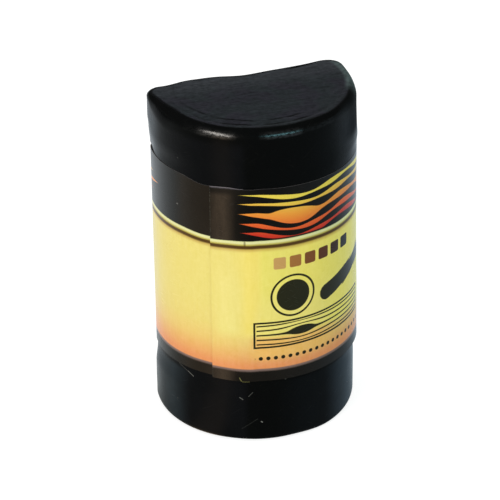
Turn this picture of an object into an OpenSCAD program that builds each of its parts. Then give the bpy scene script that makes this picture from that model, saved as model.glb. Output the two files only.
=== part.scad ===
// Furniture repair wax stick: a cast block of filler wax with a printed label wrapped round it.
// The stick stands on its base, with its round face towards -Y and its grooved back towards +Y.

/* [Wax stick] */
// Width of the stick across its round front, before the walls draw in or swell
stick_w = 25.4; // [20:0.1:32]
// Depth of the stick from its round front to the tips of its back corners
stick_d = 16.8; // [15:0.1:21]
// Height of the stick
stick_h = 43.8; // [36:0.1:60]
// Radius of the two back corners
corner_r = 2.6; // [1.8:0.1:3.6]
// Depth of the shallow groove down the back
groove_depth = 0.5; // [0.1:0.05:1.5]
// Radius of the rounded rim of the top face
top_rim_r = 1.2; // [0.4:0.1:1.6]
// Radius of the rounded rim of the base
base_rim_r = 1; // [0.4:0.1:1.6]
// How far each wall draws in between the top and the base, to leave the mould
draft = 0.22; // [0:0.02:0.5]
// How far the wall above the label swells out
top_swell = 0.2; // [0:0.01:0.5]
// How far the wall below the label swells out
base_swell = 0.13; // [0:0.01:0.5]
// Height over which each wall swells out, from the label's edge
swell_h = 3; // [1:0.1:6]
// How far the bare top leans to the left
top_lean = 0.2; // [0:0.05:0.5]

/* [Label] */
// Height of bare wax below the label, at its lower end
bare_base = 8.75; // [2:0.05:14]
// Height of bare wax above the label, at its higher end
bare_top = 7.45; // [2:0.05:14]
// Thickness of the printed label
label_t = 0.1; // [0.06:0.01:0.25]
// Thickness of the adhesive under the label
glue_t = 0.03; // [0.02:0.01:0.08]
// Length of the lap, where the label's outer end lies on its inner end
lap_w = 4.2; // [2:0.1:8]
// Length over which the outer end climbs on to the lap
lap_ramp_w = 1.5; // [1:0.1:3]
// Angle from the middle of the front to the label's outer end, to the left, in degrees
seam_turn = 42.5; // [0:0.5:85]
// How much lower the outer end lies than the inner end, where the wrap ran askew
label_skew = 0.37; // [0:0.01:1]
// How far the label's lower edge stands off the wax on the right-hand side
slack = 0.3; // [0:0.05:0.8]
// Length of the label's edge that stands off
slack_w = 20; // [8:0.5:30]
// Angle from the middle of the front to where the label stands off most, to the right, in degrees
slack_turn = 80; // [40:1:85]

/* [Hidden] */

// Stations round the outline, and steps up each rim and each swell
stations = 120;
rim_steps = 6;
swell_steps = 4;

// Outline of the stick in plan, about the centre of its round front
front_r = stick_w / 2;
corner_y = stick_d - front_r - corner_r;
corner_turn = asin(corner_y / (front_r - corner_r));
corner_x = (front_r - corner_r) * cos(corner_turn);
groove_r = (pow(corner_x, 2) + pow(groove_depth, 2)) / (2 * groove_depth) - corner_r;
groove_y = corner_y + corner_r - groove_depth + groove_r;
groove_turn = atan2(groove_y - corner_y, -corner_x);

// Arcs of the outline from the middle of the front, anticlockwise seen from above:
// centre, radius, 1 where the centre is inside the stick or -1 where it is outside, first angle, sweep
arcs = [
  [[0, 0], front_r, 1, -90, 90 + corner_turn],
  [[corner_x, corner_y], corner_r, 1, corner_turn, groove_turn - corner_turn],
  [[0, groove_y], groove_r, -1, groove_turn - 180, 180 - 2 * groove_turn],
  [[-corner_x, corner_y], corner_r, 1, 180 - groove_turn, groove_turn - corner_turn],
  [[0, 0], front_r, 1, 180 - corner_turn, 90 + corner_turn],
];

function arc_length(k) = arcs[k][1] * abs(arcs[k][4]) * PI / 180;
function arc_start(k) = k == 0 ? 0 : arc_start(k - 1) + arc_length(k - 1);
starts = [for (k = [0:len(arcs)]) arc_start(k)];
girth = starts[len(arcs)];
station_step = girth / stations;

// Which arc holds the point that lies s along the outline
function arc_at(s, k = 0) = k == len(arcs) - 1 || s < starts[k + 1] ? k : arc_at(s, k + 1);

function ease(t) = let (c = max(0, min(1, t))) c * c * (3 - 2 * c);

// The wall is straight under the label, and swells out above and below it, at most as far as the rims
label_top = stick_h - bare_top;
wall_top = stick_h - top_rim_r;
top_swell_h = min(swell_h, wall_top - label_top);
base_swell_h = min(swell_h, bare_base - base_rim_r);
function top_share(z) = ease((z - label_top) / top_swell_h);
function base_share(z) = ease((bare_base - z) / base_swell_h);

// How far out the wall lies from the outline at height z
function wall(z) = top_swell * top_share(z) + base_swell * base_share(z) - draft * (1 - z / stick_h);

// Point that lies s along the outline, moved out by off, at height z
function place(s, z, off) =
  let (
    along = s - girth * floor(s / girth),
    k = arc_at(along),
    angle = arcs[k][3] + arcs[k][4] * (along - starts[k]) / arc_length(k),
    p = arcs[k][0] + (arcs[k][1] + arcs[k][2] * off) * [cos(angle), sin(angle)]
  )
  [p[0] - top_lean * top_share(z), p[1] + front_r - stick_d / 2, z];

// Solid through a row of rings that have the same number of points
module loft(rings) {
  n = len(rings[0]);
  sides = [
    for (j = [0:len(rings) - 2], i = [0:n - 1])
      let (a = j * n + i, b = j * n + (i + 1) % n)
        each [[a, a + n, b + n], [a, b + n, b]]
  ];
  first = [for (i = [0:n - 1]) i];
  last = [for (i = [n - 1:-1:0]) (len(rings) - 1) * n + i];
  polyhedron([for (r = rings) each r], concat([first], sides, [last]));
}

// Heights up the wall where it swells, between the rims
swell_z = concat(
  [for (i = [0:swell_steps]) bare_base - base_swell_h * (1 - i / swell_steps)],
  [for (i = [0:swell_steps]) label_top + top_swell_h * i / swell_steps]
);

// Heights up the wax and how far each lies in from the wall: base rim, wall, top rim
wax_profile = concat(
  [for (i = [0:rim_steps]) base_rim_r * [1 - cos(90 * i / rim_steps), 1 - sin(90 * i / rim_steps)]],
  [for (z = swell_z) if (z > base_rim_r && z < wall_top) [z, 0]],
  [for (i = [0:rim_steps]) [
    wall_top + top_rim_r * sin(90 * i / rim_steps),
    top_rim_r * (1 - cos(90 * i / rim_steps)),
  ]]
);

module wax_stick() {
  color([0.06, 0.06, 0.065])
    loft([
      for (p = wax_profile)
        [for (k = [0:stations - 1]) place(k * station_step, p[0], wall(p[0]) - p[1])]
    ]);
}

// The label and its adhesive run from the outer end, at the seam, round to the inner end under the lap
label_h = stick_h - bare_base - bare_top - label_skew;
layer_t = label_t + glue_t;
strip_w = girth + lap_w;
seam_s = girth - front_r * seam_turn * PI / 180;
strip_s = concat(
  [seam_s],
  [for (k = [floor(seam_s / station_step) + 1:ceil((seam_s + strip_w) / station_step) - 1]) k * station_step],
  [seam_s + strip_w]
);

// Share of one layer by which the strip is lifted: all of it on the lap, and none past its ramp
function lap_share(u) = 1 - ease((u - lap_w - station_step) / lap_ramp_w);

// How far the strip's lower edge stands off the wax at the place u along it
slack_u = girth - seam_s + front_r * slack_turn * PI / 180;
function stand_off(u) = slack * (1 - ease(2 * abs(u - slack_u) / slack_w));

// Ring across the strip: inner face up, outer face down
function strip_ring(s, from, thick) =
  let (
    u = s - seam_s,
    low = bare_base + label_skew * u / strip_w,
    high = low + label_h,
    lift = from + layer_t * lap_share(u),
    low_off = wall(low) + lift + stand_off(u),
    high_off = wall(high) + lift
  )
  [
    place(s, low, low_off),
    place(s, high, high_off),
    place(s, high, high_off + thick),
    place(s, low, low_off + thick),
  ];

module label_adhesive() {
  color([0.85, 0.83, 0.76])
    loft([for (s = strip_s) strip_ring(s, 0, glue_t)]);
}

module label() {
  color([0.93, 0.86, 0.49])
    loft([for (s = strip_s) strip_ring(s, glue_t, label_t)]);
}

wax_stick();
label_adhesive();
label();
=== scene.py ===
"""Looks of a furniture repair wax stick: a cast wax block, its wrapped label and the adhesive under it."""

import functools
import math

import bpy
import numpy as np
from mathutils import Matrix, Vector, noise


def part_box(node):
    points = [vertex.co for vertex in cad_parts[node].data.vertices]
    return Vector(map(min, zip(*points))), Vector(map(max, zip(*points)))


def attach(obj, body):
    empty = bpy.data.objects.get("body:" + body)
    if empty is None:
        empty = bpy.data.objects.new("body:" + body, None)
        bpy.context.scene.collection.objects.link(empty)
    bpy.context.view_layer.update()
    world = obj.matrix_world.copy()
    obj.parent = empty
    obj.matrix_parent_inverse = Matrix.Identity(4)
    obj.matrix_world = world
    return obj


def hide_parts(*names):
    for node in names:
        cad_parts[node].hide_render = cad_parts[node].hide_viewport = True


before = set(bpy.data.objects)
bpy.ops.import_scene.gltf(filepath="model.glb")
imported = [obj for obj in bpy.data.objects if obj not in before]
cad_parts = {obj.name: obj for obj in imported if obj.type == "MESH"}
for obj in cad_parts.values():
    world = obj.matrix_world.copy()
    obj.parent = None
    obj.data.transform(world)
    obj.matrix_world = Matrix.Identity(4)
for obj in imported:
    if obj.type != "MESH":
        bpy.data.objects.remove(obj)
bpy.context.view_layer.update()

mm = 0.001

# Sizes of the stick in millimetres, as the solids have them, and the stations round their outline
wax_low, wax_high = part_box("wax_stick")
stick_h = (wax_high.z - wax_low.z) / mm
stick_w = 25.4
stick_d = 16.8
corner_r = 2.6
groove_depth = 0.5
draft = 0.22
top_swell = 0.2
swell_h = 3.0
top_lean = 0.2
solid_stations = 120

# Sizes of the label in millimetres, as the solids have them
bare_base = 8.75
bare_top = 7.45
label_t = 0.1
glue_t = 0.03
lap_w = 4.2
lap_ramp_w = 1.5
seam_turn = math.radians(42.5)
label_skew = 0.37
slack_w = 20.0

# Finer shape of the wax, in millimetres. Its walls lie a skin inside the solid's, and its base swells more
# and leans to the left
skin_t = 0.012
base_swell = 0.19
base_lean = 0.1
# Sharp crease between the rounded rim and the top face
crease_turn = math.radians(60)
crease_r = 0.15
# Lumps in the bare walls: how they fade by the label, above the base and under the top
lump_depth, lump_size = 0.05, 3.5
lump_fade, lump_foot, lump_top = 1.5, 1.0, (0.4, 1.0)
# Bulge and dip of the back edge: how far, place across and half width
back_bulge, back_bulge_x, back_bulge_w = 0.4, -4.5, 4.3
back_dip, back_dip_x, back_dip_w = 0.26, 0.2, 3.6
# Lip over a gap above the label on the left: place along the outline, half width and heights
lip_s, lip_w, lip_h = -23.0, 3.5, 0.22
gap_h = 0.08
# Bulges above the label: how far, place along the outline, half width, and heights between which each comes
left_bulge, left_bulge_s, left_bulge_w, left_bulge_up = 0.12, -23.0, 3.6, (3.0, 4.5)
right_bulge, right_bulge_s, right_bulge_w, right_bulge_up = 0.25, 15.5, 7.0, (0.0, 1.2)
# Share of the right bulge that goes again, and heights between which it does
right_bulge_fall, right_bulge_fall_up = 0.35, (2.5, 6.0)
# Swell of the wax under the label on the right, and the share of the label's height where it is full
right_puff, right_puff_full = 0.1, 0.3
# Wax that comes out to meet the label's upper edge: share of the swell, and heights from that edge
seat_share, seat_up = 0.7, (-0.02, 0.14)
# Pouring ripples behind the front rim: turn from the front and distance from the edge where they fade
ripple_depth, ripple_step, ripple_start = 0.03, 1.25, 1.1
ripple_turn, ripple_edge, ripple_fade = (1.5, 0.9), 0.4, (3.6, 2.4)
ripple_wander, ripple_wander_size = 0.25, 4.0
# Shallow dish of the top with a raised middle, and the lumps of its pour
dish_depth, dish_w = 0.07, 1.5
raised_share, raised_gap = 0.5, (3.4, 4.2)
pour_lump_depth, pour_lump_size, pour_w = 0.03, 2.6, 1.2

# Finer shape of the label, in millimetres. On the right its lower edge stands off more than the solid's, and
# nearer the front
slack = 0.36
slack_turn = math.radians(71)
cockle_depth, cockle_size = 0.03, 5.0
# Lift of the outer end off the lap, its rise, and the droop of the inner end
end_lift, end_lift_w = 0.02, 1.2
end_rise, end_rise_w = 0.1, 4.0
inner_droop, droop_lead = 0.33, 1.0
# How far the upper edge has slipped down: at both ends, by the seam and on the right
end_fall, end_fall_w = 0.2, 3.0
seam_fall, seam_fall_w, seam_fall_lead = 0.58, 3.8, 0.8
right_fall, right_fall_start = 0.5, 0.2
right_fall_in, right_fall_out = (7.0, 23.0), (56.0, 28.0)
# Puff of the upper part on the left
puff, puff_s, puff_w = 0.05, -23.5, 5.0
# How far the knife wandered at the outer end and along the edges, the size of its waves, and the width or
# the power by which they fade
end_wander, end_wander_size, end_wander_w = 0.04, 0.8, 1.0
edge_wander, edge_wander_size, edge_wander_power = 0.02, 1.1, 8
sharp_turn = math.radians(50)

# Seeds of the uneven shapes
lump_seed, pour_seed, ripple_seed = 3.0, 5.0, 11.0
cockle_seed, end_seed, edge_seed = 21.0, 31.0, 41.0

# Width of the rounded rim round the top: place along the outline from the middle of the front, and width
rim_widths = [
    (-35.5, 0.7), (-30.0, 0.7), (-28.3, 0.45), (-27.0, 0.75), (-25.2, 1.4), (-23.6, 0.78), (-21.9, 0.25),
    (-20.4, 0.85), (-18.0, 1.15), (-16.0, 1.45), (-13.3, 1.2), (-10.2, 1.02), (-8.0, 0.86), (3.0, 0.84),
    (5.5, 0.75), (7.4, 0.62), (10.0, 0.74), (13.0, 0.8), (15.5, 0.9), (17.6, 0.86), (19.3, 0.7),
    (21.2, 0.45), (22.6, 0.15), (23.6, 0.15), (25.0, 0.6), (27.5, 0.78), (32.0, 0.8), (35.5, 0.7),
]
# Radius of the base rim: place along the outline from the middle of the front, and radius
base_rims = [
    (-35.5, 0.8), (-26.0, 1.0), (-22.0, 1.25), (-18.0, 1.08), (-15.5, 0.98), (-13.0, 0.88), (-10.0, 0.82),
    (-7.0, 0.86), (-4.0, 0.78), (-1.0, 0.85), (1.5, 1.02), (3.5, 0.8), (5.5, 0.58), (8.0, 0.66),
    (11.0, 0.84), (14.0, 1.0), (19.0, 1.05), (26.0, 0.9), (35.5, 0.8),
]
# Reach and steps over which those are smoothed
smooth_reach, smooth_steps = 0.9, 13

# Maps of the pieces, which give places in millimetres: along the front and up, and along the label and up
wax_map = "along_and_up"
label_map = "print_place"

# Fineness of the meshes
wax_stations = 480
rim_rows = 12
crease_rows = 5
bare_row_h = 0.22
covered_rows = 8
edge_band = 0.9
edge_rows = 32
top_rows, top_spacing = 48, 1.35
base_rows = 8
label_columns, label_rows = 640, 64
glue_columns, glue_rows = 320, 12

# How far the adhesive lies inside the label's edges, and off the wax and the label
glue_inset = 0.04
glue_gap = 0.003

# Outline of the stick in plan, about the centre of its round front
half_turn = math.pi
quarter_turn = math.pi / 2
front_r = stick_w / 2
front_y = front_r - stick_d / 2
corner_y = stick_d - front_r - corner_r
corner_turn = math.asin(corner_y / (front_r - corner_r))
corner_x = (front_r - corner_r) * math.cos(corner_turn)
groove_r = (corner_x**2 + groove_depth**2) / (2 * groove_depth) - corner_r
groove_y = corner_y + corner_r - groove_depth + groove_r
groove_turn = math.atan2(groove_y - corner_y, -corner_x)

# Arcs of the outline from the middle of the front, anticlockwise seen from above:
# centre, radius, 1 where the centre is inside the stick or -1 where it is outside, first angle, sweep
front_sweep = quarter_turn + corner_turn
corner_sweep = groove_turn - corner_turn
arcs = [
    ((0, 0), front_r, 1, -quarter_turn, front_sweep),
    ((corner_x, corner_y), corner_r, 1, corner_turn, corner_sweep),
    ((0, groove_y), groove_r, -1, groove_turn - half_turn, half_turn - 2 * groove_turn),
    ((-corner_x, corner_y), corner_r, 1, half_turn - groove_turn, corner_sweep),
    ((0, 0), front_r, 1, half_turn - corner_turn, front_sweep),
]
arc_centres, arc_radii, arc_sides, arc_angles, arc_sweeps = (np.array(column) for column in zip(*arcs))
arc_lengths = arc_radii * np.abs(arc_sweeps)
arc_starts = np.concatenate([[0], np.cumsum(arc_lengths)[:-1]])
girth = arc_lengths.sum()

# Heights and lengths that follow from the sizes
label_top = stick_h - bare_top
label_h = stick_h - bare_base - bare_top - label_skew
layer_t = label_t + glue_t
strip_w = girth + lap_w
seam_s = girth - front_r * seam_turn
slack_u = girth - seam_s + front_r * slack_turn


def rise(value, start, end):
    """0 up to start, 1 from end on, smooth between. A start above the end falls instead."""
    share = np.clip((value - start) / (end - start), 0, 1)
    return share * share * (3 - 2 * share)


def from_front(s):
    """Length along the outline from the middle of the front, below zero on the left."""
    return (s + girth / 2) % girth - girth / 2


def near(s, middle, width):
    """1 at the middle, 0 at the width to either side of it and beyond, going round the girth."""
    return rise(np.abs(from_front(s - middle)), width, 0)


def outline(s):
    """Points of the outline that lie s along it, and its outward directions there."""
    along = s % girth
    k = np.searchsorted(arc_starts, along, side="right") - 1
    angle = arc_angles[k] + arc_sweeps[k] * (along - arc_starts[k]) / arc_lengths[k]
    ray = np.stack([np.cos(angle), np.sin(angle)], -1)
    points = arc_centres[k] + arc_radii[k][..., None] * ray
    return points + [0, front_y], ray * arc_sides[k][..., None]


def top_share(z):
    """Share of the swell above the label that the wall has at height z."""
    return rise(z, label_top, label_top + swell_h)


def wall(z):
    """How far out the wall lies from the outline at height z."""
    base_share = rise(z, bare_base, bare_base - swell_h)
    return top_swell * top_share(z) + base_swell * base_share - draft * (1 - z / stick_h)


def place(s, z, off):
    """Points s along the outline at height z, moved out from it by off."""
    points, out = outline(s)
    flat = points + np.asarray(off)[..., None] * out
    x = flat[..., 0] - top_lean * top_share(z)
    return np.stack([x, flat[..., 1], np.broadcast_to(z, x.shape)], -1)


def move_out(points, s, depth):
    """Moves points that lie s along the outline out from it."""
    points[..., :2] += depth[..., None] * outline(s)[1]


def unevenness(points, size, seed):
    """Smooth noise from about -1 to 1 at each point, with lumps about as large as size."""
    flat = points.reshape(-1, 3) / size + seed
    return np.array([noise.noise(p) for p in flat.tolist()]).reshape(points.shape[:-1])


def grid_corners(rows, columns, closed):
    """Row and column of the four corners of each face of a grid of points."""
    r, c = np.meshgrid(np.arange(rows - 1), np.arange(columns if closed else columns - 1), indexing="ij")
    corners = [(r, c), (r, c + 1), (r + 1, c + 1), (r + 1, c)]
    return np.stack([np.stack(corner, -1) for corner in corners], -2).reshape(-1, 4, 2)


def add_object(name, data):
    thing = bpy.data.objects.new(name, data)
    bpy.context.scene.collection.objects.link(thing)
    return thing


def make_piece(name, points, faces, map_name, map_points, replaced):
    """A smooth mesh piece from points and faces in millimetres, with a map of places in millimetres."""
    mesh = bpy.data.meshes.new(name)
    mesh.from_pydata((points * mm).tolist(), [], faces)
    mesh.uv_layers.new(name=map_name).data.foreach_set("uv", map_points.ravel())
    mesh.shade_smooth()
    piece = add_object(name, mesh)
    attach(piece, "root")
    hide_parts(replaced)
    return piece


# The label's edges, which the wax meets

def label_low(u):
    """Height of the label's lower edge at the place u along it."""
    low = bare_base + label_skew * u / strip_w + end_rise * rise(u, end_rise_w, 0)
    return low - inner_droop * rise(u, girth - droop_lead, strip_w)


def label_fall(u, share):
    """How far the label has slipped down at the place u along it and that share of its height."""
    right = right_fall_start + (right_fall - right_fall_start) * rise(u, *right_fall_in)
    ends = end_fall * (rise(u, end_fall_w, 0) + rise(u, girth, strip_w))
    seam = seam_fall * rise(np.abs(u - girth + seam_fall_lead), seam_fall_w, 0)
    return (right * rise(u, *right_fall_out) + ends) * share + seam * share**3


def label_rim(s):
    """Height of the label's upper edge at s along the outline, or of the higher one on the lap."""
    u = (s - seam_s) % girth
    outer = label_low(u) - label_fall(u, 1)
    inner = label_low(u + girth) - label_fall(u + girth, 1)
    return label_h + np.where(u < lap_w, np.maximum(outer, inner), outer)


def right_swell(s, z):
    """How far the wax swells out under the upper part of the label, on the right."""
    share = rise(z, bare_base, bare_base + right_puff_full * label_h)
    return right_puff * near(s, right_bulge_s, right_bulge_w) * share


# The wax block

def smoothed(s, given):
    """A size round the outline, smoothed between the places where it is given."""
    places, sizes = zip(*given)
    shifts = np.linspace(-smooth_reach, smooth_reach, smooth_steps)
    return np.mean([np.interp(from_front(s + shift), places, sizes) for shift in shifts], axis=0)


def uneven_wall(z, s):
    """The wall as cast: a lip over a gap on the left, bulges on both sides, and wax that meets the label."""
    lip = near(s, lip_s, lip_w)
    lip_start = label_top + gap_h * lip
    share = rise(z, lip_start, lip_start + swell_h + (lip_h - swell_h) * lip)
    share = share + (1 - share) * (1 - lip) * seat_share * rise(z - label_rim(s), *seat_up)
    above = z - label_top
    left = left_bulge * near(s, left_bulge_s, left_bulge_w) * rise(above, *left_bulge_up)
    right = right_bulge * (1 - right_bulge_fall * rise(above, *right_bulge_fall_up)) - right_puff
    right = right * near(s, right_bulge_s, right_bulge_w) * rise(above, *right_bulge_up)
    return wall(z) + top_swell * (share - top_share(z)) + left + right + right_swell(s, z) - skin_t


def back_wave(s):
    """How far the back edge of the top wanders from the outline."""
    back_s = girth / 2
    bulge = back_bulge * near(s, back_s - back_bulge_x, back_bulge_w)
    return bulge - back_dip * near(s, back_s - back_dip_x, back_dip_w)


def top_relief(points, edge_gap):
    """How deep the top face lies under the rim: a shallow dish with pouring ripples behind the front rim."""
    front_share = rise(np.abs(np.arctan2(points[..., 0], front_y - points[..., 1])), *ripple_turn)
    wander = ripple_wander * unevenness(points, ripple_wander_size, ripple_seed)
    phase = (edge_gap + wander - ripple_start) / ripple_step
    band = rise(edge_gap, 0, ripple_edge) * rise(edge_gap, *ripple_fade)
    ripples = ripple_depth * (1 + np.cos(2 * math.pi * phase)) * band * front_share
    raised = raised_share * rise(edge_gap, *raised_gap) * front_share
    dish = dish_depth * (rise(edge_gap, 0, dish_w) - raised)
    pour = pour_lump_depth * (1 + unevenness(points, pour_lump_size, pour_seed)) * rise(edge_gap, 0, pour_w)
    return ripples + dish + pour


def wax_rows(s):
    """Rows of points up the wax block, from the middle of its base round to the middle of its top."""
    level = 0 * s
    base_r = smoothed(s, base_rims)
    rim_w = smoothed(s, rim_widths)
    rim_r = (rim_w - crease_r * math.cos(crease_turn)) / (1 - math.cos(crease_turn))
    crease_z = stick_h - crease_r * (1 - math.sin(crease_turn))
    wall_top = crease_z - rim_r * math.sin(crease_turn)

    rows = []
    base_edge = place(s, level, wall(level) - base_r)
    centre = np.array([0, front_y, 0])
    for share in np.linspace(0, 1, base_rows, endpoint=False)[1:]:
        rows.append(centre + (base_edge - centre) * share)
    for turn in np.linspace(0, quarter_turn, rim_rows):
        z = base_r * (1 - np.cos(turn))
        rows.append(place(s, z, wall(z) - skin_t - base_r * (1 - np.sin(turn))))

    by_label = [bare_base + level, label_top - edge_band + level, label_top + edge_band + level]
    edges = [base_r, *by_label, wall_top]
    upper_rows = round((bare_top - edge_band) / bare_row_h)
    counts = [round(bare_base / bare_row_h), covered_rows, edge_rows, upper_rows]
    heights = []
    for low, high, count in zip(edges, edges[1:], counts):
        heights += [low + (high - low) * share for share in np.linspace(0, 1, count, endpoint=False)]
    for z in heights[1:]:
        rows.append(place(s, z, uneven_wall(z, s) + back_wave(s) * top_share(z)))

    for turn in np.linspace(0, crease_turn, rim_rows):
        z = crease_z - rim_r * (math.sin(crease_turn) - math.sin(turn))
        rows.append(place(s, z, uneven_wall(z, s) + back_wave(s) - rim_r * (1 - math.cos(turn))))
    for turn in np.linspace(crease_turn, quarter_turn, crease_rows)[1:]:
        z = stick_h - crease_r * (1 - math.sin(turn)) + level
        rows.append(place(s, z, uneven_wall(z, s) + back_wave(s) - rim_w + crease_r * math.cos(turn)))
    top_edge = rows[-1]
    centre = np.array([-top_lean, front_y, stick_h])
    reach = np.linalg.norm(top_edge - centre, axis=-1)
    for share in (np.arange(1, top_rows) / top_rows) ** top_spacing:
        ring = top_edge + (centre - top_edge) * share
        ring[:, 2] -= top_relief(ring, reach * share)
        rows.append(ring)
    return np.array(rows)


def roughen_wax(rows, s):
    """Presses shallow lumps into the bare walls of the wax, and leans its base."""
    height = rows[..., 2]
    below = rise(height, bare_base, bare_base - lump_fade)
    bare = np.maximum(below, rise(height, label_top, label_top + lump_fade))
    side = rise(height, 0, lump_foot) * rise(height, stick_h - lump_top[0], stick_h - lump_top[1])
    depth = lump_depth * bare * side * (1 + unevenness(rows, lump_size, lump_seed)) / 2
    move_out(rows, np.broadcast_to(s, height.shape), -depth)
    rows[..., 0] -= base_lean * rise(height, bare_base, bare_base - swell_h)


def make_wax_block():
    s = np.arange(wax_stations) * girth / wax_stations
    rows = wax_rows(s)
    roughen_wax(rows, s)
    count = len(rows)
    corners = grid_corners(count, wax_stations, closed=True)
    row, station = corners[..., 0], corners[..., 1]
    ring = row * wax_stations + station % wax_stations
    points = np.concatenate([rows.reshape(-1, 3), [[0, front_y, 0]], [rows[-1].mean(0)]])
    base_middle, top_middle = len(points) - 2, len(points) - 1
    last = (count - 1) * wax_stations
    following = [(k + 1) % wax_stations for k in range(wax_stations)]
    base_fan = [(base_middle, following[k], k) for k in range(wax_stations)]
    top_fan = [(last + k, last + following[k], top_middle) for k in range(wax_stations)]
    past_back = station[:, :1] >= wax_stations // 2
    lengths = (station - wax_stations * past_back) * girth / wax_stations
    heights = rows[row, station % wax_stations, 2]
    grid_map = np.stack([lengths, heights], -1).reshape(-1, 2)
    fan_map = np.array([(0, points[k][2]) for fan in base_fan + top_fan for k in fan])
    faces = ring.tolist() + base_fan + top_fan
    map_points = np.concatenate([grid_map, fan_map])
    return make_piece("wax_block", points, faces, wax_map, map_points, "wax_stick")


# The printed label and the adhesive under it

def lap_share(u):
    """Share of one layer by which the strip is lifted: all of it on the lap, and none past its ramp."""
    ramp_start = lap_w + girth / solid_stations
    return rise(u, ramp_start + lap_ramp_w, ramp_start)


def label_points(u, v, depth):
    """Points of the label u along it from its outer end and v up it, at a depth from its inner face."""
    s = seam_s + u
    low = label_low(u)
    share = v / label_h
    z = low + v - label_fall(u, share)
    stand_off = slack * rise(np.abs(u - slack_u), slack_w / 2, 0)
    high_off = wall(low + label_h) + puff * near(s, puff_s, puff_w) * (1 - lap_share(u))
    off = wall(low) * (1 - share) + stand_off * (1 - share) ** 2 + high_off * share + right_swell(s, z)
    lift = layer_t * lap_share(u) + end_lift * rise(u, end_lift_w, 0)
    points = place(s, z, off + lift + glue_t)
    free = rise(u, lap_w + 2 * lap_ramp_w, lap_w + 3 * lap_ramp_w)
    free = free * rise(u, girth - lap_ramp_w, girth - 2 * lap_ramp_w) * (1 - stand_off / slack)
    cockle = cockle_depth * free * (1 + unevenness(points, cockle_size, cockle_seed)) / 2
    move_out(points, s, depth + cockle)
    return points


def edge_faces(outer_index):
    """Faces that close a sheet along its four edges, from the numbers of its outer points."""
    edges = [outer_index[-1], outer_index[0, ::-1], outer_index[::-1, 0], outer_index[:, -1]]
    count = outer_index.size
    return [np.stack([e[:-1], e[1:], e[1:] + count, e[:-1] + count], -1) for e in edges]


def make_sheet(name, u, v, outer, inner, replaced):
    """A closed sheet between rows of outer and inner points, which lie u along the label and v up it."""
    rows, columns = u.shape
    corners = grid_corners(rows, columns, closed=False)
    front = corners[..., 0] * columns + corners[..., 1]
    back = front[:, ::-1] + u.size
    faces = np.concatenate([front, back, *edge_faces(np.arange(u.size).reshape(u.shape))])
    points = np.concatenate([outer.reshape(-1, 3), inner.reshape(-1, 3)])
    places = np.stack([u, v], -1).reshape(-1, 2)
    map_points = np.concatenate([places, places])[faces.ravel()]
    return make_piece(name, points, faces.tolist(), label_map, map_points, replaced)


def make_printed_label():
    u, v = np.meshgrid(np.linspace(0, strip_w, label_columns), np.linspace(0, label_h, label_rows))
    flat = np.stack([u, v, 0 * u], -1)
    end_cut = end_wander * unevenness(flat, end_wander_size, end_seed) * rise(u, end_wander_w, 0)
    by_edge = (2 * v / label_h - 1) ** edge_wander_power
    edge_cut = edge_wander * unevenness(flat, edge_wander_size, edge_seed) * by_edge
    cut_u = np.maximum(u + end_cut, 0)
    cut_v = np.clip(v + edge_cut, 0, label_h)
    outer = label_points(cut_u, cut_v, label_t + 0 * u)
    inner = label_points(cut_u, cut_v, 0 * u)
    piece = make_sheet("printed_label", u, v, outer, inner, "label")
    printed = (label_rows - 1) * (label_columns - 1)
    bare_paper = np.arange(len(piece.data.polygons)) >= printed
    piece.data.polygons.foreach_set("material_index", bare_paper.astype(int))
    piece.data.set_sharp_from_angle(angle=sharp_turn)
    return piece


def make_adhesive_layer():
    """A thin layer between the wax and the label, a little inside the label's edges."""
    u = np.linspace(glue_inset, strip_w - glue_inset, glue_columns)
    v = np.linspace(glue_inset, label_h - glue_inset, glue_rows)
    u, v = np.meshgrid(u, v)
    outer = label_points(u, v, 0 * u - glue_gap)
    inner = label_points(u, v, 0 * u - glue_t + glue_gap)
    return make_sheet("adhesive_layer", u, v, outer, inner, "label_adhesive")


wax_block = make_wax_block()
printed_label = make_printed_label()
adhesive_layer = make_adhesive_layer()


# Short ways to build node trees

def srgb(red, green, blue):
    """A colour as a paint chart gives it, from 0 to 255, as the shader takes it."""
    share = np.array([red, green, blue]) / 255
    linear = np.where(share <= 0.04045, share / 12.92, ((share + 0.055) / 1.055) ** 2.4)
    return (*linear.tolist(), 1.0)


class Field:
    """A value or colour that varies over a surface. Sums and products of Fields become Math nodes."""

    def __init__(self, nodes, socket):
        self.nodes = nodes
        self.socket = socket

    def math(self, operation, *others):
        inputs = dict(enumerate((self, *others)))
        return self.nodes.add("ShaderNodeMath", inputs, operation=operation).out(0)

    def __add__(self, other):
        return self.math("ADD", other)

    def __sub__(self, other):
        return self.math("SUBTRACT", other)

    def __mul__(self, other):
        return self.math("MULTIPLY", other)

    def __truediv__(self, other):
        return self.math("DIVIDE", other)

    def __abs__(self):
        return self.math("ABSOLUTE")

    def least(self, other):
        return self.math("MINIMUM", other)

    def most(self, other):
        return self.math("MAXIMUM", other)

    def inverse(self):
        return self.math("MULTIPLY_ADD", -1.0, 1.0)

    def rise(self, start, end):
        """0 up to start, 1 from end on, smooth between. A start above the end falls instead."""
        inputs = {"Value": self, "From Min": start, "From Max": end}
        return self.nodes.add("ShaderNodeMapRange", inputs, interpolation_type="SMOOTHSTEP").out(0)

    def within(self, start, full, full_to, end):
        """1 between the two inner places and 0 outside the outer ones, smooth between."""
        return self.rise(start, full) * self.rise(end, full_to)

    def ramp(self, start, end, low, high):
        """low at start and high at end, straight between and level beyond."""
        inputs = {"Value": self, "From Min": start, "From Max": end, "To Min": low, "To Max": high}
        return self.nodes.add("ShaderNodeMapRange", inputs).out(0)


class Placed:
    """A node in its tree, whose outputs are Fields."""

    def __init__(self, nodes, node):
        self.nodes = nodes
        self.node = node

    def out(self, name):
        return Field(self.nodes, self.node.outputs[name])


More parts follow.
